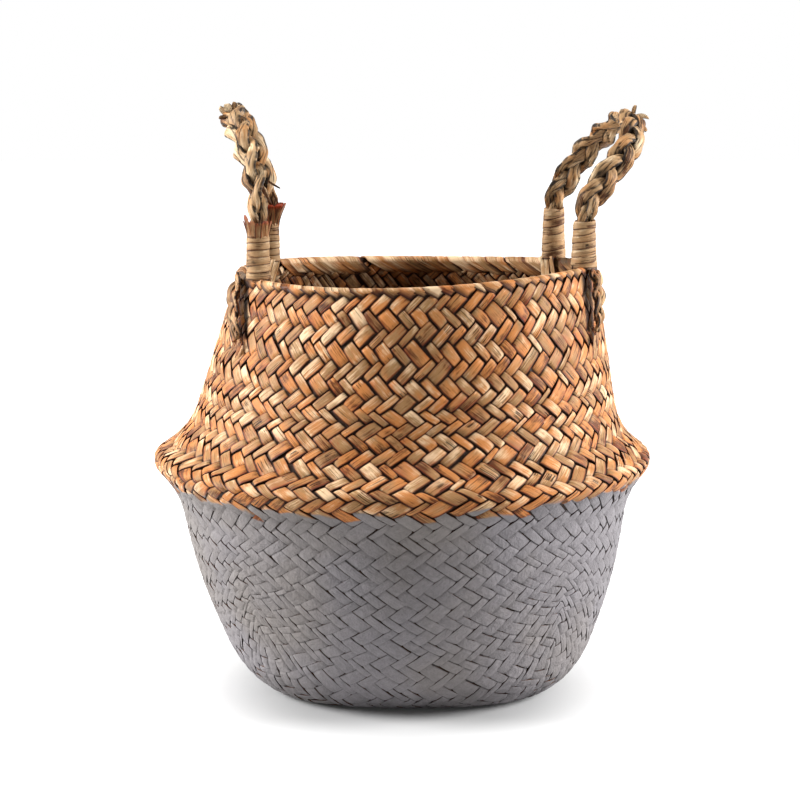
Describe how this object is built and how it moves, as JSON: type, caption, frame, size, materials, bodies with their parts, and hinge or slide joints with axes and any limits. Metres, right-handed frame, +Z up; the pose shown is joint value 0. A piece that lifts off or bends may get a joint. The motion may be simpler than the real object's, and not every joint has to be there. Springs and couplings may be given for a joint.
{
  "type": "belly basket planter",
  "caption": "Plaited belly basket with a folded-over rim, a dipped lower half and plaited loop handles lashed to the rim, for holding a potted plant or small things.",
  "frame": {"origin": "on the ground, under the middle of the belly", "axes": "+Z up out of the mouth, +X towards the right handle, +Y towards the back of the picture"},
  "size_m": [0.28, 0.28, 0.3213],
  "materials": {
    "natural_leaf": "dry tan leaf with a soft sheen, darker in the gaps",
    "grey_paint": "matte grey paint over plaited leaf",
    "straw_leaf": "pale dry leaf strips, satin",
    "dark_leaf": "brown dry leaf strips, satin"
  },
  "bodies": {
    "basket": {"base_mat": "grey_paint", "lower_wall": "grey_paint", "upper_wall": "natural_leaf", "rim_border": "natural_leaf", "left_front_leg": "dark_leaf", "left_front_lashing": "straw_leaf", "left_front_tail": "dark_leaf", "left_front_inner_ends": "straw_leaf", "left_back_leg": "dark_leaf", "left_back_lashing": "straw_leaf", "left_back_tail": "dark_leaf", "left_back_inner_ends": "straw_leaf", "right_front_leg": "dark_leaf", "right_front_lashing": "straw_leaf", "right_front_tail": "dark_leaf", "right_front_inner_ends": "straw_leaf", "right_back_leg": "dark_leaf", "right_back_lashing": "straw_leaf", "right_back_tail": "dark_leaf", "right_back_inner_ends": "straw_leaf"},
    "left_handle": {"left_plait_strand_1": "straw_leaf", "left_plait_strand_2": "straw_leaf", "left_plait_strand_3": "straw_leaf"},
    "right_handle": {"right_plait_strand_1": "straw_leaf", "right_plait_strand_2": "straw_leaf", "right_plait_strand_3": "straw_leaf"}
  },
  "joints": [
    {"name": "left_handle_flex", "type": "hinge", "parent": "basket", "child": "left_handle", "pos_m": [-0.07654, 0, 0.25936], "axis": [0, -1, 0], "range_deg": [-80, 40], "stiffness_Nm_per_rad": 0.1},
    {"name": "right_handle_flex", "type": "hinge", "parent": "basket", "child": "right_handle", "pos_m": [0.09267, 0.00887, 0.26382], "axis": [-0.1045, 0.9945, 0], "range_deg": [-80, 35], "stiffness_Nm_per_rad": 0.1}
  ]
}
